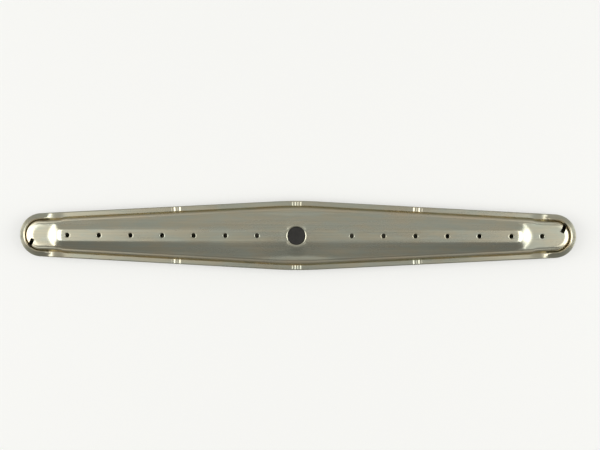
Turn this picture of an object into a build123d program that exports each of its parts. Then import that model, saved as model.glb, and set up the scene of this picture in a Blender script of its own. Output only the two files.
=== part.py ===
from build123d import *
import os
from math import acos, atan2, cos, hypot, radians, sin, tan

# Wash arm of a dishwasher, in millimetres. Two pressings of thin stainless sheet are folded together
# along a hemmed seam, round a moulded bearing hub. The arm lies on its flat underside at z = 0,
# it turns about the Z axis, and X runs along it.

# Sheet and plan
sheet = 0.7                # thickness of both pressings
arm_length = 478.0         # over the hem
centre_width = 59.5        # over the hem, at the hub
end_radius = 18.7          # round ends, at the outside of the hem
bow_radius = 350.0         # soft corner of the long edges, beside the hub

# Hemmed seam
hem_width = 4.3            # folded lip, from the outer edge to its raw edge
fold_bevel = 0.6           # broken outer edges of the fold
fold_gap = 0.3             # between the edge of the upper flange and the inside of the fold
groove_width = 0.35        # flange that shows between the lip and the foot of the shoulder

# Upper pressing
shoulder_rise = 4.5        # flange to ledge
shoulder_draft = 18.0      # lean of the shoulder, in degrees
shoulder_radius = 1.4      # rounded top of the shoulder
ledge_width = 2.55         # level strip between the shoulder and the facets
ridge_rise = 4.5           # ledge to the level strip with the spray holes
strip_width = 10.3         # level strip along the top of the ridge
ridge_radius = 2.5         # soft edges of the ridge
ramp_length = 8.0          # slope at each end of the ridge
ridge_stop_left = 16.5     # end of the strip, before the centre of the round end
ridge_stop_right = 30.0
pinch_reach = 36.0         # from here the foot of the ridge runs in towards the boss
pinch_margin = 3.7         # foot of the ridge past the top of the boss, beside the hub

# Boss and hole over the hub
boss_rise = 0.15           # boss above the strip
boss_lead = 0.6            # the top of the boss ends inside the body of the hub
boss_flare = 3.9           # the skirt grows by this much down to the ledge
boss_edge = 0.8            # broken rim of the boss
hub_hole_radius = 7.5      # hole in the boss, inside its drawn collar
hub_collar_depth = 2.4     # collar drawn down round the hole, from the top of the boss
hub_hole_mouth = 0.5       # flared mouth of the hole

# Spray holes and drive slots
spray_radius = 1.8
spray_pitch = 27.0
spray_first_left = 33.5    # from the axis to the first hole
spray_first_right = 47.0
spray_margin = 8.0         # least distance from a hole to the end of its row
slot_width = 2.5
slot_length = 6.8
slot_corner_radius = 0.5
slot_ahead = 7.9           # centre of the slot, past the centre of the round end
slot_side = 6.4            # centre of the slot, off the middle line
slot_turn = 63.0           # long axis of the slot, from the X axis, in degrees
slot_sill = 1.0            # foot of the slot, above the flange

# Lower pressing
pan_depth = 8.6            # resting plane to the underside of the seam
pan_draft = 20.0           # lean of the wall, in degrees
pan_radius = 2.5           # rounded edge of the floor
crimp_reach = 104.0        # crimps at the hub, and this far to either side
crimp_tooth_spacing = 5.1  # two grooves in each crimp
crimp_groove_width = 2.6
crimp_groove_depth = 0.45
pad_back = 5.3             # flattened pad of the hem, before the centre of the round end
pad_length = 13.0
pad_swell = 0.3            # the pad spreads inward past the lip
curl_rise = 2.6            # round the ends the lip stands open, by this much at its raw edge
curl_width = 3.6

# Bearing hub
bore_radius = 11.0         # turns on the pump's post
bore_length = 6.5          # bearing ring below the windows
bore_relief = 0.6          # the bore is wider than this ring above it
hub_wall = 2.4
hub_crown = 2.0            # thickness of the closed top
hub_flange_width = 2.8     # flange that sits on the floor
hub_flange_thickness = 2.0
window_count = 4
window_width = 12.0
window_head = 1.1          # wall left between the windows and the crown
spigot_recess = 0.8        # top of the spigot, below the top of the boss
seat_clearance = 0.15      # round the hub, in the floor and in the collar

# Levels
flange_low = pan_depth + sheet
flange_top = flange_low + sheet
lip_top = flange_top + sheet
ledge_level = flange_top + shoulder_rise
strip_level = ledge_level + ridge_rise
boss_level = strip_level + boss_rise
collar_end = boss_level - hub_collar_depth

# Insets from the outer edge
shoulder_foot = hem_width + groove_width
shoulder_head = shoulder_foot + shoulder_rise * tan(radians(shoulder_draft))
ridge_foot = shoulder_head + ledge_width

# Places along the arm
end_x = arm_length / 2 - end_radius
head_left = end_x - ridge_stop_left
head_right = end_x - ridge_stop_right
pad_end = end_x - pad_back

# Radii about the axis
hub_radius = bore_radius + hub_wall
boss_radius = hub_radius - boss_lead

# The long edges are straight lines, tangent to the soft corner at the hub and to the round ends
bow_y = centre_width / 2 - bow_radius
edge_slope = atan2(end_x, -bow_y) - acos((bow_radius - end_radius) / hypot(end_x, bow_y))
edge_offset = bow_y * cos(edge_slope) + bow_radius

# Flat on an inner edge, as a share of the round that it stands for
inner_flat = 0.4

UPRIGHT = (Align.CENTER, Align.CENTER, Align.MIN)


def edge_y(x, inset):
    """Half width of the arm at a place along it, on the straight edge moved in by an inset."""
    return (edge_offset - inset - x * sin(edge_slope)) / cos(edge_slope)


def plan(inset, level):
    """The outline of the arm moved inward by an inset, as a face at a level."""
    bow = bow_radius - inset
    end = end_radius - inset
    bow_x, bow_top = bow * sin(edge_slope), bow_y + bow * cos(edge_slope)
    tip_x, tip_y = end_x + end * sin(edge_slope), end * cos(edge_slope)
    side = bow_y + bow
    tip = end_x + end
    outline = [
        ThreePointArc((tip_x, -tip_y), (tip, 0), (tip_x, tip_y)),
        Line((tip_x, tip_y), (bow_x, bow_top)),
        ThreePointArc((bow_x, bow_top), (0, side), (-bow_x, bow_top)),
        Line((-bow_x, bow_top), (-tip_x, tip_y)),
        ThreePointArc((-tip_x, tip_y), (-tip, 0), (-tip_x, -tip_y)),
        Line((-tip_x, -tip_y), (-bow_x, -bow_top)),
        ThreePointArc((-bow_x, -bow_top), (0, -side), (bow_x, -bow_top)),
        Line((bow_x, -bow_top), (tip_x, -tip_y)),
    ]
    return Pos(0, 0, level) * make_face(outline)


def edges_at(solid, level):
    """Edges that lie wholly in one level."""
    return solid.edges().filter_by_position(Axis.Z, level - 0.01, level + 0.01)


def soften(edges, radius, depth):
    """Round a pressed edge on the outer skin; on the inner one a flat follows it."""
    if depth == 0:
        return fillet(edges, radius)
    return chamfer(edges, inner_flat * (radius - depth))


def tray(depth):
    """The raised body of the upper pressing without its ridge, for the skin this deep in the sheet."""
    draft = radians(shoulder_draft)
    inset = shoulder_foot - depth * tan(draft) + depth / cos(draft)
    body = extrude(plan(inset, flange_top - depth), shoulder_rise, taper=shoulder_draft)
    return soften(edges_at(body, ledge_level - depth), shoulder_radius, depth)


def ridge(depth):
    """The ridge that carries the spray holes: level along the top, with a slope down at each end."""
    half_strip = strip_width / 2
    facet_width = edge_y(end_x / 2, ridge_foot) - half_strip
    draw_in = depth * tan(atan2(ridge_rise, facet_width) / 2)
    heads = [-head_left + draw_in, -pinch_reach, 0, pinch_reach, head_right - draw_in]
    feet = [heads[0] - ramp_length, -pinch_reach, 0, pinch_reach, heads[-1] + ramp_length]
    sides = [edge_y(abs(x), ridge_foot) - draw_in for x in feet]
    sides[2] = boss_radius + pinch_margin - draw_in
    low = list(zip(feet, sides))
    high = [(x, half_strip - draw_in) for x in heads]
    rings = []
    for points, level in ((low, ledge_level - depth), (high, strip_level - depth)):
        around = points + [(x, -y) for x, y in reversed(points)]
        rings.append(Pos(0, 0, level) * make_face(Polyline(*around, close=True)))
    body = loft(rings, ruled=True)
    hips = body.edges().filter_by(lambda edge: 0 < abs(edge.tangent_at(0).Z) < 1)
    hips = hips.filter_by(lambda edge: abs(edge.center().X) > end_x / 2)
    return fillet(edges_at(body, strip_level - depth) + hips, ridge_radius - depth)


def boss(depth):
    """The round boss over the hub, with its skirt down to the ledge."""
    height = ridge_rise + boss_rise
    draw_in = depth * tan(atan2(height, boss_flare) / 2)
    top_radius = boss_radius - draw_in
    skirt = Cone(top_radius + boss_flare, top_radius, height, align=UPRIGHT)
    skirt = Pos(0, 0, ledge_level - depth) * skirt
    return chamfer(edges_at(skirt, boss_level - depth), boss_edge)


def spray_places():
    """Places of the spray holes along the arm: two rows, half a pitch out of step."""
    rows = ((-1, spray_first_left, head_left), (1, spray_first_right, end_x))
    places = []
    for way, reach, row_end in rows:
        while reach <= row_end - spray_margin:
            places.append(way * reach)
            reach += spray_pitch
    return places


def make_upper_shell():
    """The upper pressing: flange, shoulder, ledge, ridge and boss, pierced for the spray and the hub."""
    flange = extrude(plan(sheet + fold_gap, flange_low), sheet)
    shell = flange + tray(0) + ridge(0) + boss(0) - (tray(sheet) + ridge(sheet) + boss(sheet))

    collar = Cylinder(hub_hole_radius + sheet, hub_collar_depth, align=UPRIGHT)
    hole = Cylinder(hub_hole_radius, hub_collar_depth, align=UPRIGHT)
    shell = shell + Pos(0, 0, collar_end) * collar - Pos(0, 0, collar_end) * hole
    mouth = edges_at(shell, boss_level).filter_by(GeomType.CIRCLE).sort_by(SortBy.RADIUS)[0]
    shell = chamfer(mouth, hub_hole_mouth)

    drill = Cylinder(spray_radius, strip_level, align=UPRIGHT)
    shell -= [Pos(x, 0, flange_top) * drill for x in spray_places()]

    slot = extrude(RectangleRounded(slot_length, slot_width, slot_corner_radius), shoulder_rise)
    slot = Pos(end_x + slot_ahead, slot_side, flange_top + slot_sill) * Rot(0, 0, slot_turn) * slot
    return shell - slot - Rot(0, 0, 180) * slot


def pan(depth):
    """The body of the lower pressing below the seam, for the skin this deep in the sheet."""
    draft = radians(pan_draft)
    inset = shoulder_foot - depth * tan(draft) + depth / cos(draft)
    body = extrude(plan(inset, 0), pan_depth, taper=pan_draft)
    body = soften(edges_at(body, pan_depth), pan_radius, depth)
    return Pos(0, 0, pan_depth + depth) * Rot(180, 0, 0) * body


def end_curl():
    """The lip round the ends, which is folded less and rises towards its raw edge."""
    start = extrude(plan(sheet, flange_top), sheet)
    slope = loft([plan(sheet, lip_top), plan(curl_width, lip_top + curl_rise)], ruled=True)
    rise = start + slope
    opening = extrude(plan(curl_width, flange_low), arm_length)
    return rise - Pos(0, 0, -sheet) * rise - opening


def beyond(x):
    """The space past a place along the arm, towards both ends."""
    block = Box(arm_length, centre_width, arm_length)
    return [Pos(way * (x + arm_length / 2), 0, 0) * block for way in (-1, 1)]


def pad_swells():
    """The inward swell of the hem where it is pinched flat next to each round end."""
    start, middle, stop = pad_end - pad_length, pad_end - pad_length / 2, pad_end
    raw_edge = [(x, edge_y(x, hem_width - pad_swell)) for x in (start, stop)]
    crest = (middle, edge_y(middle, hem_width + pad_swell))
    swell = make_face([Line(raw_edge[0], raw_edge[1]), ThreePointArc(raw_edge[1], crest, raw_edge[0])])
    swell = Pos(0, 0, flange_top) * extrude(swell, sheet, dir=(0, 0, 1))
    swell = swell + mirror(swell, Plane.XZ)
    return [swell, mirror(swell, Plane.YZ)]


def crimp_grooves():
    """Pairs of grooves pressed across the hem: at the hub and half way out, on both edges."""
    half, deep = crimp_groove_width / 2, crimp_groove_depth
    radius = (half ** 2 + deep ** 2) / (2 * deep)
    grooves = []
    for place in (-crimp_reach, 0, crimp_reach):
        side = edge_y(abs(place), 0) if place else centre_width / 2
        lean = -edge_slope * (place > 0) + edge_slope * (place < 0)
        for step in (-crimp_tooth_spacing / 2, crimp_tooth_spacing / 2):
            x, y = place + step * cos(lean), side + step * sin(lean)
            across = Plane((x, y, lip_top - deep + radius), z_dir=(-sin(lean), cos(lean), 0))
            groove = across * Cylinder(radius, 2 * shoulder_foot)
            grooves += [groove, mirror(groove, Plane.XZ)]
    return grooves


def make_lower_shell():
    """The lower pressing: floor, wall and flange, with its edge folded over the upper flange."""
    seam = extrude(plan(0, pan_depth), lip_top - pan_depth)
    seam = chamfer(edges_at(seam, pan_depth) + edges_at(seam, lip_top), fold_bevel)
    seam -= extrude(plan(hem_width, flange_top), sheet)
    ends = beyond(pad_end)
    lip = extrude(plan(sheet, flange_top), sheet)
    seam = seam - [lip & end for end in ends] + [end_curl() & end for end in ends] + pad_swells()
    seam -= extrude(plan(sheet, flange_low), sheet)
    seam -= crimp_grooves()
    shell = seam + pan(0) - pan(sheet)
    inlet = Cylinder(hub_radius + seat_clearance, pan_depth)
    return shell - inlet


def make_bearing_hub():
    """The moulded bearing: flanged sleeve, open below, with windows into the arm and a closed crown."""
    body = Cylinder(hub_radius, collar_end, align=UPRIGHT)
    flange = Cylinder(hub_radius + hub_flange_width, hub_flange_thickness, align=UPRIGHT)
    spigot = Cylinder(hub_hole_radius - seat_clearance, boss_level - spigot_recess, align=UPRIGHT)
    chamber_height = collar_end - hub_crown - bore_length
    chamber = Cylinder(bore_radius + bore_relief, chamber_height, align=UPRIGHT)
    window_height = chamber_height - window_head
    window = Box(hub_radius, window_width, window_height, align=(Align.MIN, Align.CENTER, Align.MIN))
    ring = Cylinder(bore_radius, bore_length, align=UPRIGHT)
    hub = body + Pos(0, 0, sheet) * flange + spigot - ring
    cuts = [Rot(0, 0, turn * 360 / window_count) * window for turn in range(window_count)]
    return hub - [Pos(0, 0, bore_length) * cut for cut in [chamber] + cuts]


os.makedirs("parts", exist_ok=True)
pieces = {
    "upper_shell": make_upper_shell(),
    "lower_shell": make_lower_shell(),
    "bearing_hub": make_bearing_hub(),
}
for name, piece in pieces.items():
    export_step(piece, f"parts/{name}.step")
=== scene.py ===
from math import acos, asin, atan2, cos, hypot, pi, radians, sin, tan
import bmesh
import bpy
from mathutils import Euler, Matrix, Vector
from mathutils.geometry import delaunay_2d_cdt


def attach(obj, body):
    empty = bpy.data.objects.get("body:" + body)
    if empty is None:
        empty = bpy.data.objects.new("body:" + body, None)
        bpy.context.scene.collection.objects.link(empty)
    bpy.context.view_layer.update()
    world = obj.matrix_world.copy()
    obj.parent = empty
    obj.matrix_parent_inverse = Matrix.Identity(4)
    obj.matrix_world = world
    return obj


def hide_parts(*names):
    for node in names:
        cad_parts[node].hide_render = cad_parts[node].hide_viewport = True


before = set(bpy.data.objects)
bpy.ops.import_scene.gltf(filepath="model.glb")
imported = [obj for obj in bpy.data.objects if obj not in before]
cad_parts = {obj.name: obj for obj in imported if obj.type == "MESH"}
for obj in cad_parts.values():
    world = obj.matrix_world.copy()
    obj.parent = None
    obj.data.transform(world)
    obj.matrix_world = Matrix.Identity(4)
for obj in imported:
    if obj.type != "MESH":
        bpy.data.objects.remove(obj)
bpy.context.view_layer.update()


# BEARING HUB
# A black plastic moulding, held between the two pressings when their seam is folded. Its open lower end
# turns on the pump's post, its windows let the water into the arm, and its top shows in the boss.

def group_socket(group, name, way, kind, value=None):
    """A named input or output of a shader node group."""
    socket = group.interface.new_socket(name=name, in_out=way, socket_type=kind)
    if value is not None:
        socket.default_value = value


def smudge_group():
    """Soft patches left by water and hands, longer one way than the other."""
    group = bpy.data.node_groups.new("water_smudges", "ShaderNodeTree")
    group_socket(group, "Patch Scale", "INPUT", "NodeSocketVector", (20.0, 60.0, 60.0))
    group_socket(group, "Spread", "INPUT", "NodeSocketFloat", 0.3)
    group_socket(group, "Mask", "OUTPUT", "NodeSocketFloat")
    nodes, link = group.nodes, group.links.new
    given = nodes.new("NodeGroupInput")
    place = nodes.new("ShaderNodeTexCoord")
    scale = nodes.new("ShaderNodeVectorMath")
    scale.operation = "MULTIPLY"
    link(place.outputs["Object"], scale.inputs[0])
    link(given.outputs["Patch Scale"], scale.inputs[1])
    patches = nodes.new("ShaderNodeTexNoise")
    patches.inputs["Scale"].default_value = 1.0
    patches.inputs["Detail"].default_value = 5.0
    patches.inputs["Roughness"].default_value = 0.62
    link(scale.outputs["Vector"], patches.inputs["Vector"])
    low = nodes.new("ShaderNodeMath")
    low.operation = "SUBTRACT"
    low.inputs[0].default_value = 0.5
    link(given.outputs["Spread"], low.inputs[1])
    high = nodes.new("ShaderNodeMath")
    high.operation = "ADD"
    high.inputs[0].default_value = 0.5
    link(given.outputs["Spread"], high.inputs[1])
    spread = nodes.new("ShaderNodeMapRange")
    spread.interpolation_type = "SMOOTHSTEP"
    link(patches.outputs["Fac"], spread.inputs["Value"])
    link(low.outputs["Value"], spread.inputs["From Min"])
    link(high.outputs["Value"], spread.inputs["From Max"])
    result = nodes.new("NodeGroupOutput")
    link(spread.outputs["Result"], result.inputs["Mask"])
    return group


water_smudges = smudge_group()


def mixed_values(nodes, link, mask, low, high):
    """A value that goes from low to high with a mask."""
    mix = nodes.new("ShaderNodeMapRange")
    mix.inputs["To Min"].default_value = low
    mix.inputs["To Max"].default_value = high
    link(mask, mix.inputs["Value"])
    return mix.outputs["Result"]


def mixed_colours(nodes, link, mask, low, high):
    """A colour that goes from low to high with a mask."""
    mix = nodes.new("ShaderNodeMix")
    mix.data_type = "RGBA"
    mix.inputs["A"].default_value = (*low, 1.0)
    mix.inputs["B"].default_value = (*high, 1.0)
    link(mask, mix.inputs["Factor"])
    return mix.outputs["Result"]


def hub_plastic():
    """Matte black plastic with a fine moulded grain and dull water marks."""
    material = bpy.data.materials.new("black_plastic")
    material.use_nodes = True
    nodes, link = material.node_tree.nodes, material.node_tree.links.new
    shader = nodes["Principled BSDF"]
    marks = nodes.new("ShaderNodeGroup")
    marks.node_tree = water_smudges
    marks.inputs["Patch Scale"].default_value = (140.0, 140.0, 140.0)
    marks.inputs["Spread"].default_value = 0.25
    mask = marks.outputs["Mask"]
    colour = mixed_colours(nodes, link, mask, (0.010, 0.009, 0.007), (0.017, 0.015, 0.012))
    link(colour, shader.inputs["Base Color"])
    link(mixed_values(nodes, link, mask, 0.42, 0.62), shader.inputs["Roughness"])
    place = nodes.new("ShaderNodeTexCoord")
    grain = nodes.new("ShaderNodeTexNoise")
    grain.inputs["Scale"].default_value = 1800.0
    grain.inputs["Detail"].default_value = 3.0
    link(place.outputs["Object"], grain.inputs["Vector"])
    bump = nodes.new("ShaderNodeBump")
    bump.inputs["Strength"].default_value = 0.25
    bump.inputs["Distance"].default_value = 0.0001
    link(grain.outputs["Fac"], bump.inputs["Height"])
    link(bump.outputs["Normal"], shader.inputs["Normal"])
    return material


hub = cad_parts["bearing_hub"]
hub.data.materials.clear()
hub.data.materials.append(hub_plastic())


# LOWER PRESSING
# A shallow pan of thin stainless sheet, drawn in a press. Its flange is folded up and over the flange of
# the upper pressing: the hem that goes right round the arm. Pairs of teeth crimp it, and at the round
# ends its lip stands open.

mm = 0.001
sheet = 0.7 * mm
arm_half = 239.0 * mm
centre_half = 29.75 * mm
end_radius = 18.7 * mm
bow_radius = 350.0 * mm
hem_width = 4.3 * mm
pan_depth = 8.6 * mm
pan_draft = radians(20)
shoulder_foot = 4.65 * mm
floor_start = 12.0 * mm
inlet_radius = 13.55 * mm
inlet_margin = 0.8 * mm
inlet_corners = 96
flange_low = pan_depth + sheet
flange_top = flange_low + sheet
lip_top = flange_top + sheet

end_x = arm_half - end_radius
bow_y = centre_half - bow_radius
lean = atan2(end_x, -bow_y) - acos((bow_radius - end_radius) / hypot(end_x, bow_y))
edge_offset = bow_y * cos(lean) + bow_radius
crimp_reach = 104.0 * mm
crimp_zone = 5.5 * mm
weld_gap = 0.001 * mm


def edge_steps(fine, coarse):
    """Places along a long edge, close together where the crimps are."""
    limit = end_x + end_radius * sin(lean)
    places = [-limit]
    while places[-1] < limit:
        reach = abs(places[-1] + coarse / 2)
        near = min(reach, abs(reach - crimp_reach)) < crimp_zone + coarse / 2
        places.append(min(limit, places[-1] + (fine if near else coarse)))
    return places[1:-1]


def edge_stations(fine, coarse, end_steps):
    """The outer edge of the arm as points with their inward directions, once round."""
    stations = []
    for way in (1, -1):
        for step in range(end_steps + 1):
            turn = (step / end_steps - 0.5) * (pi - 2 * lean)
            out = Vector((cos(turn), sin(turn), 0)) * way
            stations.append((Vector((way * end_x, 0, 0)) + out * end_radius, -out))
        for place in edge_steps(fine, coarse):
            if abs(place) < bow_radius * sin(lean):
                turn = asin(place / bow_radius)
                out = Vector((-sin(turn), cos(turn), 0)) * way
                stations.append((Vector((0, way * bow_y, 0)) + out * bow_radius, -out))
            else:
                side = -1 if place > 0 else 1
                out = Vector((side * sin(lean), cos(lean), 0)) * way
                height = (edge_offset - abs(place) * sin(lean)) / cos(lean)
                stations.append((Vector((-way * place, way * height, 0)), -out))
    return stations


def rounded(corners, steps):
    """A line through corners given as (x, y, radius), with an arc at each corner."""
    line = []
    for number, (x, y, radius) in enumerate(corners):
        corner = Vector((x, y))
        if radius == 0:
            line.append(corner)
            continue
        before = (Vector(corners[number - 1][:2]) - corner).normalized()
        after = (Vector(corners[number + 1][:2]) - corner).normalized()
        half = before.angle(after) / 2
        centre = corner + (before + after).normalized() * (radius / sin(half))
        start = corner + before * (radius / tan(half)) - centre
        stop = corner + after * (radius / tan(half)) - centre
        sweep = start.angle(stop)
        for step in range(steps + 1):
            share = sweep * step / steps
            line.append(centre + (start * sin(sweep - share) + stop * sin(share)) / sin(sweep))
    return line


def pan_section():
    """The sheet of the lower pressing cut through: inset from the outer edge, and height."""
    wall = pan_depth * tan(pan_draft)
    inner = sheet / cos(pan_draft) - sheet * tan(pan_draft)
    fold = (lip_top - pan_depth) / 2
    tuck = 0.34 * mm
    floor_bend = 2.5 * mm
    flange_bend = 0.9 * mm
    inner_floor_bend = 1.6 * mm
    inner_flange_bend = 1.4 * mm
    fold_dip = 0.12 * mm
    lip_tilt = 0.08 * mm
    edge_drop = 0.25 * mm
    edge_round = 0.2 * mm
    outer_skin = [
        (floor_start, 0, 0),
        (shoulder_foot + wall, 0, floor_bend),
        (shoulder_foot, pan_depth, flange_bend),
        (0, pan_depth, 0.98 * fold),
        (0, lip_top - fold_dip, 0.92 * fold),
        (hem_width - edge_drop, lip_top + lip_tilt, edge_round),
        (hem_width, lip_top - edge_drop, 0),
    ]
    inner_skin = [
        (hem_width, flange_top, 0),
        (sheet, flange_top, tuck),
        (sheet, flange_low, tuck),
        (shoulder_foot + inner, flange_low, inner_flange_bend),
        (shoulder_foot + inner + wall, sheet, inner_floor_bend),
        (floor_start, sheet, 0),
    ]
    return rounded(outer_skin, 8), rounded(inner_skin, 5)


def finer_lip(line):
    """The section with more points along the folded lip."""
    lip_step = 0.35 * mm
    fine = []
    for here, after in zip(line, line[1:]):
        parts = 1
        if min(here.y, after.y) > flange_low:
            parts = max(1, round((after - here).length / lip_step))
        fine += [here.lerp(after, number / parts) for number in range(parts)]
    return fine + line[-1:]


def soft_least(a, b, blend):
    """The smaller of two heights, with the corner between them rounded."""
    h = max(blend - abs(a - b), 0.0) / blend
    return min(a, b) - h * h * blend / 4


def curl_share(lip):
    """How far the open lip stands up: from the fold to a rolled crest, then down to the raw edge."""
    crest = 0.76
    crest_height = 1.11
    crest_fall = 1.6
    crest_round = 0.12
    if lip <= 0:
        return 0.0
    return soft_least(lip / crest, crest_height - crest_fall * (lip - crest), crest_round)


def guide_mesh(name, points, values):
    """A mesh of bare points that carries values for the node tree."""
    mesh = bpy.data.meshes.new(name)
    mesh.from_pydata(points, [], [])
    for key, (kind, numbers) in values.items():
        attribute = mesh.attributes.new(key, kind, "POINT")
        field = "vector" if kind == "FLOAT_VECTOR" else "value"
        for number, value in enumerate(numbers):
            setattr(attribute.data[number], field, value)
    guide = bpy.data.objects.new(name, mesh)
    bpy.context.scene.collection.objects.link(guide)
    return guide


def tree_inputs(tree, kinds):
    """Gives a node tree its named inputs, and returns their identifiers by name."""
    names = {}
    for name, kind in kinds.items():
        socket = tree.interface.new_socket(name=name, in_out="INPUT", socket_type="NodeSocket" + kind)
        names[name] = socket.identifier
    return names


def number_node(tree, operation, first, second=None, third=None):
    """One step of arithmetic in a node tree."""
    node = tree.nodes.new("ShaderNodeMath")
    node.operation = operation
    for socket, value in zip(node.inputs, (first, second, third)):
        if value is None:
            continue
        if isinstance(value, (int, float)):
            socket.default_value = value
        else:
            tree.links.new(value, socket)
    return node.outputs["Value"]


def vector_node(tree, operation, first, second=None, scale=None):
    """One step of vector arithmetic in a node tree."""
    node = tree.nodes.new("ShaderNodeVectorMath")
    node.operation = operation
    tree.links.new(first, node.inputs[0])
    if second is not None:
        tree.links.new(second, node.inputs[1])
    if isinstance(scale, (int, float)):
        node.inputs["Scale"].default_value = scale
    elif scale is not None:
        tree.links.new(scale, node.inputs["Scale"])
    return node.outputs["Vector"]


def hem_tree():
    """Carries the sheet's section round the edge of the arm, then crimps, pinches and opens the hem."""
    tree = bpy.data.node_groups.new("folded_pan", "GeometryNodeTree")
    names = tree_inputs(tree, {
        "Edge": "Object",
        "Section": "Object",
        "Stations": "Int",
        "Section Points": "Int",
        "Crimp Reach": "Float",
        "Tooth Spacing": "Float",
        "Groove Width": "Float",
        "Groove Depth": "Float",
        "Pad Middle": "Float",
        "Pad Length": "Float",
        "Pad Swell": "Float",
        "Pad Rise": "Float",
        "Curl Start": "Float",
        "Curl Run": "Float",
        "Curl Rise": "Float",
        "Curl Reach": "Float",
        "Material": "Material",
    })
    tree.interface.new_socket(name="Geometry", in_out="OUTPUT", socket_type="NodeSocketGeometry")
    link = tree.links.new
    given = tree.nodes.new("NodeGroupInput").outputs

    grid = tree.nodes.new("GeometryNodeMeshGrid")
    link(given["Stations"], grid.inputs["Vertices X"])
    link(given["Section Points"], grid.inputs["Vertices Y"])
    index = tree.nodes.new("GeometryNodeInputIndex").outputs["Index"]
    around = number_node(tree, "FLOOR", number_node(tree, "DIVIDE", index, given["Section Points"]))
    row_start = number_node(tree, "MULTIPLY", around, given["Section Points"])
    along = number_node(tree, "SUBTRACT", index, row_start)

    def sampled(guide, kind, name, at):
        """A value of a guide's point, by its number."""
        info = tree.nodes.new("GeometryNodeObjectInfo")
        link(given[guide], info.inputs["Object"])
        sample = tree.nodes.new("GeometryNodeSampleIndex")
        sample.data_type = kind
        link(info.outputs["Geometry"], sample.inputs["Geometry"])
        if name == "position":
            value = tree.nodes.new("GeometryNodeInputPosition").outputs["Position"]
        else:
            attribute = tree.nodes.new("GeometryNodeInputNamedAttribute")
            attribute.data_type = kind
            attribute.inputs["Name"].default_value = name
            value = attribute.outputs["Attribute"]
        link(value, sample.inputs["Value"])
        link(at, sample.inputs["Index"])
        return sample.outputs["Value"]

    def eased_node(value, low, high):
        """A share from 0 to 1 between two values, with soft ends."""
        node = tree.nodes.new("ShaderNodeMapRange")
        node.interpolation_type = "SMOOTHSTEP"
        node.inputs["From Min"].default_value = low
        node.inputs["From Max"].default_value = high
        link(value, node.inputs["Value"])
        return node.outputs["Result"]

    edge = sampled("Edge", "FLOAT_VECTOR", "position", around)
    inward = sampled("Edge", "FLOAT_VECTOR", "inward", around)
    section = tree.nodes.new("ShaderNodeSeparateXYZ")
    link(sampled("Section", "FLOAT_VECTOR", "position", along), section.inputs["Vector"])
    lip = sampled("Section", "FLOAT", "lip", along)
    curl = sampled("Section", "FLOAT", "curl", along)
    top = sampled("Section", "FLOAT", "top", along)
    edge_parts = tree.nodes.new("ShaderNodeSeparateXYZ")
    link(edge, edge_parts.inputs["Vector"])
    reach = number_node(tree, "ABSOLUTE", edge_parts.outputs["X"])

    from_crimp = number_node(tree, "ABSOLUTE", number_node(tree, "SUBTRACT", reach, given["Crimp Reach"]))
    from_crimp = number_node(tree, "MINIMUM", reach, from_crimp)
    half_tooth = number_node(tree, "MULTIPLY", given["Tooth Spacing"], 0.5)
    half_groove = number_node(tree, "MULTIPLY", given["Groove Width"], 0.5)
    off_tooth = number_node(tree, "ABSOLUTE", number_node(tree, "SUBTRACT", from_crimp, half_tooth))
    off_tooth = number_node(tree, "DIVIDE", off_tooth, half_groove)
    hollow = number_node(tree, "SUBTRACT", 1.0, number_node(tree, "MULTIPLY", off_tooth, off_tooth))
    hollow = number_node(tree, "MULTIPLY", number_node(tree, "MAXIMUM", hollow, 0.0), given["Groove Depth"])
    hollow = number_node(tree, "MULTIPLY", hollow, top)

    half_pad = number_node(tree, "MULTIPLY", given["Pad Length"], 0.5)
    from_pad = number_node(tree, "SUBTRACT", reach, given["Pad Middle"])
    off_pad = number_node(tree, "DIVIDE", from_pad, half_pad)
    # The pads swell, rise and fall at these shares of their half length.
    spread = eased_node(number_node(tree, "ABSOLUTE", off_pad), 1.0, 0.45)
    swell = number_node(tree, "MULTIPLY", spread, given["Pad Swell"])
    swell = number_node(tree, "MULTIPLY", swell, lip)
    climbing = eased_node(off_pad, -0.8, 0.5)
    falling = eased_node(off_pad, 1.2, 0.8)
    lifted = number_node(tree, "MULTIPLY", climbing, falling)
    lifted = number_node(tree, "MULTIPLY", lifted, given["Pad Rise"])
    hollow = number_node(tree, "SUBTRACT", hollow, number_node(tree, "MULTIPLY", lifted, top))

    past = number_node(tree, "SUBTRACT", reach, given["Curl Start"])
    opened = eased_node(number_node(tree, "DIVIDE", past, given["Curl Run"]), 0.0, 1.0)
    rise = number_node(tree, "MULTIPLY", opened, given["Curl Rise"])
    rise = number_node(tree, "MULTIPLY", rise, curl)
    further = number_node(tree, "MULTIPLY", opened, given["Curl Reach"])
    further = number_node(tree, "MULTIPLY", further, lip)

    inset = number_node(tree, "ADD", number_node(tree, "ADD", section.outputs["X"], swell), further)
    height = number_node(tree, "SUBTRACT", number_node(tree, "ADD", section.outputs["Y"], rise), hollow)
    upright = tree.nodes.new("ShaderNodeCombineXYZ")
    link(height, upright.inputs["Z"])
    place = vector_node(tree, "ADD", edge, vector_node(tree, "SCALE", inward, scale=inset))
    place = vector_node(tree, "ADD", place, upright.outputs["Vector"])
    move = tree.nodes.new("GeometryNodeSetPosition")
    link(grid.outputs["Mesh"], move.inputs["Geometry"])
    link(place, move.inputs["Position"])
    closed = tree.nodes.new("GeometryNodeMergeByDistance")
    closed.inputs["Distance"].default_value = weld_gap
    link(move.outputs["Geometry"], closed.inputs["Geometry"])
    whole = tree.nodes.new("GeometryNodeRealizeInstances")
    link(closed.outputs["Geometry"], whole.inputs["Geometry"])
    paint = tree.nodes.new("GeometryNodeSetMaterial")
    link(whole.outputs["Geometry"], paint.inputs["Geometry"])
    link(given["Material"], paint.inputs["Material"])
    result = tree.nodes.new("NodeGroupOutput")
    link(paint.outputs["Geometry"], result.inputs["Geometry"])
    return tree, names


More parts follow.
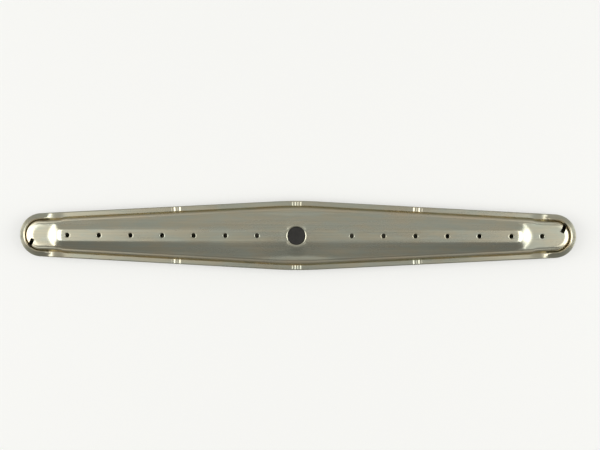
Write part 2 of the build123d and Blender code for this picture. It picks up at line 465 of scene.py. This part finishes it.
def grown_mesh(name, tree, names, values, start=None):
    """A plain mesh from a node tree with these values."""
    holder = bpy.data.objects.new(name, start or bpy.data.meshes.new(name))
    bpy.context.scene.collection.objects.link(holder)
    nodes = holder.modifiers.new("nodes", "NODES")
    nodes.node_group = tree
    for key, value in values.items():
        nodes[names[key]] = value
    bpy.context.view_layer.update()
    seen = holder.evaluated_get(bpy.context.evaluated_depsgraph_get())
    mesh = bpy.data.meshes.new_from_object(seen)
    holder.modifiers.remove(nodes)
    bpy.data.objects.remove(holder)
    return mesh


def stainless():
    """Mill-rolled stainless sheet: fine lines along the arm, dull smudges and a brown tinge at the seam."""
    material = bpy.data.materials.new("satin_stainless")
    material.use_nodes = True
    nodes, link = material.node_tree.nodes, material.node_tree.links.new
    shader = nodes["Principled BSDF"]
    shader.inputs["Metallic"].default_value = 1.0
    place = nodes.new("ShaderNodeTexCoord")
    stretch = nodes.new("ShaderNodeMapping")
    stretch.inputs["Scale"].default_value = (14.0, 2600.0, 2600.0)
    link(place.outputs["Object"], stretch.inputs["Vector"])
    lines = nodes.new("ShaderNodeTexNoise")
    lines.inputs["Scale"].default_value = 1.0
    lines.inputs["Detail"].default_value = 4.0
    lines.inputs["Roughness"].default_value = 0.7
    link(stretch.outputs["Vector"], lines.inputs["Vector"])

    def patches(scale, spread):
        """A mask of soft patches on the sheet."""
        marks = nodes.new("ShaderNodeGroup")
        marks.node_tree = water_smudges
        marks.inputs["Patch Scale"].default_value = scale
        marks.inputs["Spread"].default_value = spread
        return marks.outputs["Mask"]

    def tinted(colour, mask, low, high):
        """A colour with a tint laid over it, which goes from low to high with a mask."""
        mix = nodes.new("ShaderNodeMix")
        mix.data_type = "RGBA"
        mix.blend_type = "MULTIPLY"
        mix.inputs["Factor"].default_value = 1.0
        link(colour, mix.inputs["A"])
        link(mixed_colours(nodes, link, mask, low, high), mix.inputs["B"])
        return mix.outputs["Result"]

    seam = nodes.new("ShaderNodeAttribute")
    seam.attribute_name = "seam"
    dull_mask = patches((16.0, 70.0, 70.0), 0.22)
    tint_mask = patches((38.0, 150.0, 150.0), 0.16)
    band_mask = patches((5.0, 620.0, 620.0), 0.3)
    colour = mixed_colours(nodes, link, dull_mask, (0.65, 0.635, 0.525), (0.555, 0.56, 0.465))
    colour = tinted(colour, tint_mask, (0.955, 0.995, 1.0), (1.045, 0.99, 0.91))
    colour = tinted(colour, band_mask, (0.92, 0.93, 0.92), (1.07, 1.06, 1.06))
    colour = tinted(colour, lines.outputs["Fac"], (0.92, 0.92, 0.92), (1.08, 1.08, 1.08))
    colour = tinted(colour, seam.outputs["Fac"], (1.0, 1.0, 1.0), (1.08, 0.985, 0.92))
    link(colour, shader.inputs["Base Color"])
    dull = mixed_values(nodes, link, dull_mask, 0.25, 0.36)
    grooves = mixed_values(nodes, link, lines.outputs["Fac"], -0.04, 0.04)
    both = nodes.new("ShaderNodeMath")
    both.operation = "ADD"
    link(dull, both.inputs[0])
    link(grooves, both.inputs[1])
    link(both.outputs["Value"], shader.inputs["Roughness"])
    bump = nodes.new("ShaderNodeBump")
    bump.inputs["Strength"].default_value = 0.12
    bump.inputs["Distance"].default_value = 0.00003
    link(lines.outputs["Fac"], bump.inputs["Height"])
    link(bump.outputs["Normal"], shader.inputs["Normal"])
    return material


def clamped(share):
    """A share kept between 0 and 1."""
    return max(0.0, min(1.0, share))


crimp_step = 0.4 * mm
edge_step = 2.5 * mm
end_steps = 44

steel = stainless()
stations = edge_stations(crimp_step, edge_step, end_steps)
outer_line, inner_line = pan_section()
section_line = finer_lip(outer_line + inner_line)
lip_shares = [clamped((p.x - sheet) / (hem_width - sheet)) * (p.y > flange_low) for p in section_line]
top_span = lip_top - flange_top - 0.2 * mm
top_shares = [clamped((p.y - flange_top) / top_span) for p in section_line]
edge_loop = stations + stations[:1]
edge_guide = guide_mesh(
    "edge_guide", [p for p, _ in edge_loop], {"inward": ("FLOAT_VECTOR", [n for _, n in edge_loop])}
)
section_guide = guide_mesh(
    "section_guide", [(p.x, p.y, 0) for p in section_line],
    {
        "lip": ("FLOAT", lip_shares),
        "curl": ("FLOAT", [curl_share(lip) for lip in lip_shares]),
        "top": ("FLOAT", top_shares),
    },
)
hem_nodes, hem_names = hem_tree()
pan_mesh = grown_mesh("lower_pressing", hem_nodes, hem_names, {
    "Edge": edge_guide,
    "Section": section_guide,
    "Stations": len(edge_loop),
    "Section Points": len(section_line),
    "Crimp Reach": crimp_reach,
    "Tooth Spacing": 4.6 * mm,
    "Groove Width": 3.4 * mm,
    "Groove Depth": 0.36 * mm,
    "Pad Middle": 206.5 * mm,
    "Pad Length": 14.0 * mm,
    "Pad Swell": 0.9 * mm,
    "Pad Rise": 0.95 * mm,
    "Curl Start": 213.8 * mm,
    "Curl Run": 4.0 * mm,
    "Curl Rise": 2.5 * mm,
    "Curl Reach": 0.9 * mm,
    "Material": steel,
})
for guide in (edge_guide, section_guide):
    bpy.data.objects.remove(guide)


def ring(radius, count, centre=(0.0, 0.0)):
    """Points on a circle, once round."""
    turns = [2 * pi * number / count for number in range(count)]
    return [Vector((centre[0] + radius * cos(t), centre[1] + radius * sin(t))) for t in turns]


def loop_edges(first, count):
    """The edges of a closed loop, as pairs of point numbers."""
    return [(first + number, first + (number + 1) % count) for number in range(count)]


def filled(points, bounds):
    """The area within closed lines, as places and faces."""
    within_lines = 1
    same_place = 1e-7
    places, _, faces = delaunay_2d_cdt(points, bounds, [], within_lines, same_place)[:3]
    return places, faces


def face_middle(places, face):
    """The middle of a face's corners."""
    return sum((places[k] for k in face), Vector((0, 0))) / len(face)


def add_floor(mesh):
    """Closes the pan with its flat floor, pierced for the hub."""
    around = [p + n * floor_start for p, n in stations]
    flat = [Vector((p.x, p.y)) for p in around]
    points = flat + ring(inlet_radius, inlet_corners) + ring(inlet_radius + inlet_margin, inlet_corners)
    bounds = loop_edges(0, len(flat)) + loop_edges(len(flat), inlet_corners)
    places, faces = filled(points, bounds)
    bm = bmesh.new()
    bm.from_mesh(mesh)
    for level in (0.0, sheet):
        corners = [bm.verts.new((p.x, p.y, level)) for p in places]
        for face in faces:
            if face_middle(places, face).length > inlet_radius:
                bm.faces.new([corners[k] for k in face])
    bmesh.ops.remove_doubles(bm, verts=bm.verts, dist=weld_gap)
    loose = [v for v in bm.verts if not v.link_faces]
    bmesh.ops.delete(bm, geom=loose, context="VERTS")
    rims = [e for e in bm.edges if e.is_boundary]
    bmesh.ops.bridge_loops(bm, edges=rims)
    bmesh.ops.recalc_face_normals(bm, faces=bm.faces)
    bm.to_mesh(mesh)
    bm.free()


def edge_inset(x, y):
    """How far a place lies inside the outer edge of the arm."""
    x, y = abs(x), abs(y)
    if y * sin(lean) < (x - end_x) * cos(lean):
        return end_radius - hypot(x - end_x, y)
    if x < (y - bow_y) * tan(lean):
        return bow_radius - hypot(x, y - bow_y)
    return edge_offset - y * cos(lean) - x * sin(lean)


def mark_seam(mesh):
    """Marks the sheet beside the seam, where water leaves a brown tinge."""
    tinge_inset = 6.2 * mm
    tinge_reach = 3.2 * mm
    seam = mesh.attributes.new("seam", "FLOAT", "POINT")
    for vertex, mark in zip(mesh.vertices, seam.data):
        x, y, z = vertex.co
        if z > flange_low:
            mark.value = max(0.0, 1 - abs(edge_inset(x, y) - tinge_inset) / tinge_reach)


def finished_piece(name, mesh, node, sharp):
    """A smooth-shaded piece of steel that stands for a node of the model."""
    mesh.name = name
    mesh.materials.clear()
    mesh.materials.append(steel)
    mesh.polygons.foreach_set("material_index", [0] * len(mesh.polygons))
    mark_seam(mesh)
    mesh.shade_smooth()
    mesh.set_sharp_from_angle(angle=radians(sharp))
    piece = bpy.data.objects.new(name, mesh)
    bpy.context.scene.collection.objects.link(piece)
    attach(piece, "root")
    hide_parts(node)


add_floor(pan_mesh)
finished_piece("lower_pressing", pan_mesh, "lower_shell", 40)


# UPPER PRESSING
# A second pressing of the same sheet: flange, shoulder, ledge and a faceted ridge with a level strip on
# top. The spray holes are pierced along the strip, and the hole over the hub is drawn down into a collar.

shoulder_rise = 4.5 * mm
shoulder_lean = radians(18)
ledge_width = 2.55 * mm
ridge_rise = 4.5 * mm
half_strip = 5.15 * mm
ramp_length = 7.0 * mm
nose_radius = 9.0 * mm
head_left = end_x - 17.5 * mm
head_right = end_x - 30.5 * mm
pinch_reach = 36.0 * mm
boss_rise = 0.147 * mm
crown_radius = 9.6 * mm
boss_fall = 0.6
pinch_foot = 16.5 * mm
ledge_level = flange_top + shoulder_rise
strip_level = ledge_level + ridge_rise
shoulder_head = shoulder_foot + shoulder_rise * tan(shoulder_lean)
ridge_foot = shoulder_head + ledge_width


def soft_most(a, b, blend):
    """The larger of two heights, with the corner between them rounded."""
    return -soft_least(-a, -b, blend)


def shoulder_section(foot, head, pad):
    """Flange, shoulder, leaning ledge and edge of the level pad: inset from the edge, and height."""
    flange_edge = sheet + 0.3 * mm
    flange_middle = 2.6 * mm
    foot_bend = 0.7 * mm
    corners = [
        (flange_edge, flange_top, 0),
        (flange_middle, flange_top, 0),
        (foot, flange_top, foot_bend),
        head,
        *pad,
    ]
    return rounded(corners, 6)


shoulder_line = shoulder_section(
    shoulder_foot,
    (shoulder_head, ledge_level - 0.65 * mm, 1.3 * mm),
    [
        (7.9 * mm, ledge_level - 0.4 * mm, 1.5 * mm),
        (8.9 * mm, ledge_level, 1.6 * mm),
        (9.6 * mm, ledge_level, 0),
    ],
)
left_end_line = shoulder_section(
    4.8 * mm,
    (6.6 * mm, ledge_level - 1.5 * mm, 1.2 * mm),
    [(12.0 * mm, ledge_level, 8.0 * mm), (14.5 * mm, ledge_level, 0)],
)
right_end_line = shoulder_section(
    4.8 * mm,
    (7.5 * mm, ledge_level - 0.8 * mm, 1.4 * mm),
    [(10.2 * mm, ledge_level, 3.0 * mm), (11.4 * mm, ledge_level, 0)],
)


def line_height(line, inset):
    """Height of a section line at an inset."""
    for low, high in zip(line, line[1:]):
        if inset <= high.x:
            share = max(0.0, (inset - low.x) / (high.x - low.x))
            return low.y + share * (high.y - low.y)
    return ledge_level


def eased(value, low, high):
    """A share from 0 to 1 between two values, with soft ends."""
    share = clamped((value - low) / (high - low))
    return share * share * (3 - 2 * share)


push = 0.9 * mm
push_start = 199.0 * mm
push_stop = 206.0 * mm
soften_start = end_x - 5.0 * mm
soften_stop = end_x + 9.0 * mm


def shoulder_height(x, inset):
    """Height of the shoulder: pushed in where the hem is pinched, and softer round the ends."""
    end = eased(abs(x), soften_start, soften_stop)
    pushed = push * eased(abs(x), push_start, push_stop)
    side = line_height(shoulder_line, inset - pushed * (1 - end))
    round_end = line_height(left_end_line if x < 0 else right_end_line, inset)
    return side + end * (round_end - side)


strip_round = 0.5 * mm
facet_round = 1.8 * mm
foot_round = 0.4 * mm
ramp_fade = 2.0 * mm
ramp_round = 0.9 * mm
ramp_foot_round = 2.6 * mm
crown_round = 0.01 * mm
skirt_round = 1.2 * mm
skirt_middle = 12.5 * mm
lift_start = 8.8 * mm
lift_stop = 15.0 * mm


def ridge_height(x, y):
    """Height of ridge and boss above the ledge."""
    reach, side = abs(x), abs(y)
    foot = (edge_offset - ridge_foot - reach * sin(lean)) / cos(lean)
    if reach < pinch_reach:
        outer = (edge_offset - ridge_foot - pinch_reach * sin(lean)) / cos(lean)
        foot = pinch_foot + (outer - pinch_foot) * reach / pinch_reach
    facet = ridge_rise * (foot - side) / (foot - half_strip)
    head = head_left if x < 0 else head_right
    past = reach - head + side * side / (2 * nose_radius)
    ramp = ridge_rise * (ramp_length - past) / ramp_length
    on_ramp = eased(facet - ramp, 0.0, ramp_fade)
    slopes = soft_least(facet, ramp, facet_round)
    ridge = soft_least(slopes, ridge_rise, strip_round + ramp_round * on_ramp)
    radius = hypot(x, y)
    boss = ridge_rise - boss_fall * max(0.0, radius - crown_radius)
    boss_blend = crown_round + skirt_round * eased(radius, crown_radius, skirt_middle)
    lift = boss_rise * (1 - eased(radius, lift_start, lift_stop))
    foot_blend = foot_round + ramp_foot_round * on_ramp
    return soft_most(soft_most(ridge, boss, boss_blend), 0.0, foot_blend) + lift


def skin_height(x, y):
    """Height of the upper pressing's outer skin."""
    return shoulder_height(x, edge_inset(x, y)) + ridge_height(x, y)


spray_radius = 1.8 * mm
spray_roll = 0.6 * mm
spray_pitch = 27.0 * mm
spray_corners = 28
spray_steps = 5
spray_depth = 0.9 * mm
spray_left = [-33.5 * mm - spray_pitch * number for number in range(7)]
spray_right = [47.0 * mm + spray_pitch * number for number in range(7)]
spray_places = [(x, 0.0) for x in spray_left + spray_right]
hole_radius = 7.5 * mm
hole_roll = 1.1 * mm
hole_corners = 96
collar_depth = 2.4 * mm
collar_steps = 8
slot_length = 7.4 * mm
slot_width = 3.5 * mm
slot_corner = 0.6 * mm
slot_turn = radians(63)
slot_aside = 6.4 * mm
slot_ahead_left = 7.9 * mm
slot_ahead_right = 7.1 * mm
slot_step = 0.5 * mm
slot_margin = 0.35 * mm
rim_gap = 0.02 * mm


def slot_outline(way):
    """One drive slot in plan, kept off the foot of the shoulder."""
    ahead = slot_ahead_right if way > 0 else slot_ahead_left
    corner_steps = 4
    outline = []
    for sx, sy, start in ((1, 1, 0), (-1, 1, 90), (-1, -1, 180), (1, -1, 270)):
        for step in range(corner_steps + 1):
            angle = radians(start + 90 * step / corner_steps)
            u = sx * (slot_length / 2 - slot_corner) + slot_corner * cos(angle)
            v = sy * (slot_width / 2 - slot_corner) + slot_corner * sin(angle)
            outline.append((u, v))
    fine = []
    for (u0, v0), (u1, v1) in zip(outline, outline[1:] + outline[:1]):
        parts = max(1, round(hypot(u1 - u0, v1 - v0) / slot_step))
        fine += [(u0 + (u1 - u0) * k / parts, v0 + (v1 - v0) * k / parts) for k in range(parts)]
    placed = []
    for u, v in fine:
        x = end_x + ahead + u * cos(slot_turn) - v * sin(slot_turn)
        y = slot_aside + u * sin(slot_turn) + v * cos(slot_turn)
        short = max(0.0, shoulder_foot + slot_margin - edge_inset(x, y))
        out = Vector((x - end_x, y)).normalized()
        placed.append((Vector((x, y)) - out * short) * way)
    return placed


def inside(point, outline):
    """Whether a place lies within a closed line."""
    hit = False
    for a, b in zip(outline, outline[1:] + outline[:1]):
        if (a.y > point.y) != (b.y > point.y):
            hit ^= point.x < (b.x - a.x) * (point.y - a.y) / (b.y - a.y) + a.x
    return hit


slots = [slot_outline(1), slot_outline(-1)]
skirt_step = 2.2 * mm
skirt_end_steps = 40
grid_along = 1.0 * mm
grid_across = 0.66 * mm
bend_clear = 0.3 * mm
boss_clear = 0.4 * mm
slot_clear = 0.4 * mm
spray_clear = spray_radius + 2 * spray_roll + 0.5 * mm
crown_rings = [8.6 * mm, 9.3 * mm, 10.2 * mm, 11.0 * mm, 11.6 * mm, 12.1 * mm]
skirt_rings = [12.5 * mm, 12.9 * mm, 13.4 * mm, 14.0 * mm, 14.7 * mm, 15.4 * mm]
foot_rings = [16.0 * mm, 16.4 * mm, 16.8 * mm, 17.3 * mm, 18.0 * mm]
boss_rings = crown_rings + skirt_rings + foot_rings


def skin_loops():
    """Closed lines that the faces of the skin follow: its bends, holes, boss and slots."""
    loops = []
    skirt_stations = edge_stations(skirt_step, skirt_step, skirt_end_steps)
    for level in shoulder_line:
        loops.append([(p + n * level.x).to_2d() for p, n in skirt_stations])
    for place in spray_places:
        loops.append(ring(spray_radius + spray_roll, spray_corners, place))
        loops.append(ring(spray_radius + 2 * spray_roll, spray_corners, place))
    for radius in boss_rings:
        loops.append(ring(radius, hole_corners))
    return loops + slots


def clear_of_loops(x, y):
    """Whether a place keeps clear of the bends, the boss, the holes and the slots."""
    if edge_inset(x, y) < shoulder_line[-1].x + bend_clear:
        return False
    if hypot(x, y) < boss_rings[-1] + boss_clear:
        return False
    if any(hypot(x - px, y) < spray_clear for px, _ in spray_places):
        return False
    if abs(x) <= end_x:
        return True
    outline = slots[0] if x > 0 else slots[1]
    return min((p - Vector((x, y))).length for p in outline) >= slot_clear


def pierced(place):
    """Whether a place lies in a hole or a slot."""
    if place.length < hole_radius + hole_roll:
        return True
    if any((place - Vector(p)).length < spray_radius + spray_roll for p in spray_places):
        return True
    return abs(place.x) > end_x and any(inside(place, outline) for outline in slots)


def skin_mesh():
    """The outer skin of the upper pressing, with its holes and slots left open."""
    points, bounds = [], []
    for loop in skin_loops():
        bounds += loop_edges(len(points), len(loop))
        points += loop
    columns = int(arm_half / grid_along)
    rows = int(centre_half / grid_across)
    for column in range(-columns, columns + 1):
        for row in range(-rows, rows + 1):
            x, y = column * grid_along, row * grid_across
            if clear_of_loops(x, y):
                points.append(Vector((x, y)))
    places, faces = filled(points, bounds)
    kept = [face for face in faces if not pierced(face_middle(places, face))]
    mesh = bpy.data.meshes.new("upper_skin")
    mesh.from_pydata([(p.x, p.y, skin_height(p.x, p.y)) for p in places], [], kept)
    return mesh


def rolled_rim(radius, roll, depth, count, steps):
    """The rolled edge of a hole, about the origin, from the flat sheet down into the hole."""
    levels = []
    for step in range(steps + 1):
        turn = pi / 2 * step / steps
        levels.append((radius + roll * (1 - sin(turn)), -roll * (1 - cos(turn))))
    levels.append((radius, -depth))
    points = [Vector((p.x, p.y, z)) for reach, z in levels for p in ring(reach, count)]
    faces = []
    for level in range(len(levels) - 1):
        low = level * count
        for a, b in loop_edges(low, count):
            faces.append((a, b, b + count, a + count))
    mesh = bpy.data.meshes.new("rolled_rim")
    mesh.from_pydata(points, [], faces)
    return mesh


def rim_tree():
    """Sets a rolled rim into each spray hole, and the drawn collar into the hole over the hub."""
    tree = bpy.data.node_groups.new("pierced_holes", "GeometryNodeTree")
    tree.interface.new_socket(name="Geometry", in_out="INPUT", socket_type="NodeSocketGeometry")
    names = tree_inputs(tree, {
        "Rim": "Object",
        "Collar": "Object",
        "Left Count": "Int",
        "Right Count": "Int",
        "First Left": "Vector",
        "First Right": "Vector",
        "End Hole": "Vector",
        "Hub Hole": "Vector",
        "Pitch": "Vector",
        "Material": "Material",
    })
    tree.interface.new_socket(name="Geometry", in_out="OUTPUT", socket_type="NodeSocketGeometry")
    link = tree.links.new
    given = tree.nodes.new("NodeGroupInput").outputs
    back = vector_node(tree, "SCALE", given["Pitch"], scale=-1.0)
    rows = tree.nodes.new("GeometryNodeJoinGeometry")
    for count, first, step in (
        ("Left Count", "First Left", back),
        ("Right Count", "First Right", given["Pitch"]),
        (None, "End Hole", None),
    ):
        row = tree.nodes.new("GeometryNodeMeshLine")
        row.inputs["Count"].default_value = 1
        if count:
            link(given[count], row.inputs["Count"])
            link(step, row.inputs["Offset"])
        link(given[first], row.inputs["Start Location"])
        link(row.outputs["Mesh"], rows.inputs["Geometry"])
    parts = tree.nodes.new("GeometryNodeJoinGeometry")
    link(given["Geometry"], parts.inputs["Geometry"])
    hub_point = tree.nodes.new("GeometryNodeMeshLine")
    hub_point.inputs["Count"].default_value = 1
    link(given["Hub Hole"], hub_point.inputs["Start Location"])
    for shape, spots in (("Rim", rows.outputs["Geometry"]), ("Collar", hub_point.outputs["Mesh"])):
        info = tree.nodes.new("GeometryNodeObjectInfo")
        link(given[shape], info.inputs["Object"])
        copies = tree.nodes.new("GeometryNodeInstanceOnPoints")
        link(spots, copies.inputs["Points"])
        link(info.outputs["Geometry"], copies.inputs["Instance"])
        link(copies.outputs["Instances"], parts.inputs["Geometry"])
    whole = tree.nodes.new("GeometryNodeRealizeInstances")
    link(parts.outputs["Geometry"], whole.inputs["Geometry"])
    joined = tree.nodes.new("GeometryNodeMergeByDistance")
    joined.inputs["Distance"].default_value = rim_gap
    link(whole.outputs["Geometry"], joined.inputs["Geometry"])
    paint = tree.nodes.new("GeometryNodeSetMaterial")
    link(joined.outputs["Geometry"], paint.inputs["Geometry"])
    link(given["Material"], paint.inputs["Material"])
    result = tree.nodes.new("NodeGroupOutput")
    link(paint.outputs["Geometry"], result.inputs["Geometry"])
    return tree, names


def thickened(mesh):
    """Gives a skin the thickness of the sheet, downwards."""
    bm = bmesh.new()
    bm.from_mesh(mesh)
    loose = [v for v in bm.verts if not v.link_faces]
    bmesh.ops.delete(bm, geom=loose, context="VERTS")
    bm.to_mesh(mesh)
    bm.free()
    holder = bpy.data.objects.new("upper_skin", mesh)
    bpy.context.scene.collection.objects.link(holder)
    wall = holder.modifiers.new("sheet", "SOLIDIFY")
    wall.thickness = sheet
    wall.offset = -1.0
    bpy.context.view_layer.update()
    seen = holder.evaluated_get(bpy.context.evaluated_depsgraph_get())
    solid = bpy.data.meshes.new_from_object(seen)
    holder.modifiers.remove(wall)
    bpy.data.objects.remove(holder)
    return solid


rim_mesh = rolled_rim(spray_radius, spray_roll, spray_depth, spray_corners, spray_steps)
collar_mesh = rolled_rim(hole_radius, hole_roll, collar_depth, hole_corners, collar_steps)
rim_guide = bpy.data.objects.new("rim_guide", rim_mesh)
collar_guide = bpy.data.objects.new("collar_guide", collar_mesh)
for guide in (rim_guide, collar_guide):
    bpy.context.scene.collection.objects.link(guide)
rim_nodes, rim_names = rim_tree()
skin = grown_mesh("upper_pressing", rim_nodes, rim_names, {
    "Rim": rim_guide,
    "Collar": collar_guide,
    "Left Count": len(spray_left),
    "Right Count": len(spray_right) - 1,
    "First Left": (spray_left[0], 0.0, strip_level),
    "First Right": (spray_right[0], 0.0, strip_level),
    "End Hole": (spray_right[-1], 0.0, ledge_level),
    "Hub Hole": (0.0, 0.0, strip_level + boss_rise),
    "Pitch": (spray_pitch, 0.0, 0.0),
    "Material": steel,
}, skin_mesh())
for guide in (rim_guide, collar_guide):
    bpy.data.objects.remove(guide)
finished_piece("upper_pressing", thickened(skin), "upper_shell", 50)


# TABLE
# A plain, pale and matte table top just under the flat floor of the arm. It takes the arm's soft shadow,
# and the steel mirrors it a little darker than it is seen: painted shade for the dim room beyond the card.

def table_white():
    """Plain white card, kept pale wherever it is seen."""
    material = bpy.data.materials.new("pale_table")
    material.use_nodes = True
    nodes, link = material.node_tree.nodes, material.node_tree.links.new
    card = nodes["Principled BSDF"]
    card.inputs["Roughness"].default_value = 0.9
    card.inputs["Specular IOR Level"].default_value = 0.1
    ray = nodes.new("ShaderNodeLightPath")
    seen_tone = (0.46, 0.463, 0.452)
    # The tone seen in reflections is painted shade, for the dim room beyond the card.
    mirrored_tone = (0.30, 0.305, 0.28)
    tone = mixed_colours(nodes, link, ray.outputs["Is Glossy Ray"], seen_tone, mirrored_tone)
    link(tone, card.inputs["Base Color"])
    lift = nodes.new("ShaderNodeMath")
    lift.operation = "MULTIPLY"
    lift.inputs[1].default_value = 0.49
    link(ray.outputs["Is Camera Ray"], lift.inputs[0])
    card.inputs["Emission Color"].default_value = (1.0, 1.0, 0.98, 1.0)
    link(lift.outputs["Value"], card.inputs["Emission Strength"])
    return material


table_half = 3.0
table_level = -0.2 * mm
table_signs = ((-1, -1), (1, -1), (1, 1), (-1, 1))
table_mesh = bpy.data.meshes.new("table_top")
table_corners = [(sx * table_half, sy * table_half, table_level) for sx, sy in table_signs]
table_mesh.from_pydata(table_corners, [], [(0, 1, 2, 3)])
table = bpy.data.objects.new("table_top", table_mesh)
table_mesh.materials.append(table_white())
bpy.context.scene.collection.objects.link(table)


# LIGHT
# Two large soft boxes, left and right of the arm, in a dim room. The room is bright near the boxes and
# darker towards the front.

def soft_box(name, place, size, radiance):
    """A soft box that faces the arm."""
    lamp = bpy.data.lights.new(name, "AREA")
    lamp.shape = "RECTANGLE"
    lamp.size, lamp.size_y = size
    lamp.energy = radiance * pi * size[0] * size[1]
    box = bpy.data.objects.new(name, lamp)
    box.location = place
    box.rotation_euler = (Vector((0, 0, 0)) - Vector(place)).to_track_quat("-Z", "Y").to_euler()
    bpy.context.scene.collection.objects.link(box)


box_aside = 1.25
box_height = 0.85
box_size = (1.1, 1.2)
box_radiance = 1.9
for name, way in (("left_box", -1), ("right_box", 1)):
    soft_box(name, (way * box_aside, 0.0, box_height), box_size, box_radiance)


def room_light():
    """A dim room that grows bright towards the soft boxes, and looks pale behind the table."""
    world = bpy.data.worlds.new("room")
    world.use_nodes = True
    tree = world.node_tree
    nodes, link = tree.nodes, tree.links.new
    place = nodes.new("ShaderNodeTexCoord")
    parts = nodes.new("ShaderNodeSeparateXYZ")
    link(place.outputs["Generated"], parts.inputs["Vector"])

    def ranged(value, low, high, to_low, to_high, kind="SMOOTHSTEP"):
        """A value that goes from one level to another."""
        node = nodes.new("ShaderNodeMapRange")
        node.interpolation_type = kind
        node.inputs["From Min"].default_value = low
        node.inputs["From Max"].default_value = high
        node.inputs["To Min"].default_value = to_low
        node.inputs["To Max"].default_value = to_high
        link(value, node.inputs["Value"])
        return node.outputs["Result"]

    aside = number_node(tree, "ABSOLUTE", parts.outputs["X"])
    across = number_node(tree, "ABSOLUTE", parts.outputs["Y"])
    towards = ranged(aside, 0.12, 0.55, 0.0, 1.0)
    between = ranged(across, 0.15, 0.5, 1.0, 0.0)
    stronger_left = ranged(parts.outputs["X"], -1.0, 1.0, 1.3, 1.0, "LINEAR")
    glow = number_node(tree, "MULTIPLY", towards, between)
    glow = number_node(tree, "MULTIPLY", glow, stronger_left)
    glow = number_node(tree, "MULTIPLY", glow, ranged(aside, 0.94, 1.0, 1.0, 0.0))
    dim_room = ranged(parts.outputs["Y"], -1.0, 1.0, 0.185, 0.445, "LINEAR")
    total = number_node(tree, "ADD", glow, dim_room)
    ray = nodes.new("ShaderNodeLightPath")
    behind = number_node(tree, "SUBTRACT", 0.92, total)
    shown = number_node(tree, "MULTIPLY_ADD", behind, ray.outputs["Is Camera Ray"], total)
    link(shown, nodes["Background"].inputs["Strength"])
    nodes["Background"].inputs["Color"].default_value = (1.0, 0.99, 0.96, 1.0)
    bpy.context.scene.world = world


room_light()


# CAMERA
# Almost straight above the arm and a little off its middle, with the whole length in view.

camera_data = bpy.data.cameras.new("camera")
camera_data.sensor_width = 36.0
camera_data.lens = 55.2
camera = bpy.data.objects.new("camera", camera_data)
camera.location = (0.0166, 0.0228, 0.800)
camera.rotation_euler = Euler((radians(-0.995), radians(0.995), radians(0.13)))
bpy.context.scene.collection.objects.link(camera)
bpy.context.scene.camera = camera
bpy.context.scene.view_settings.view_transform = "Standard"
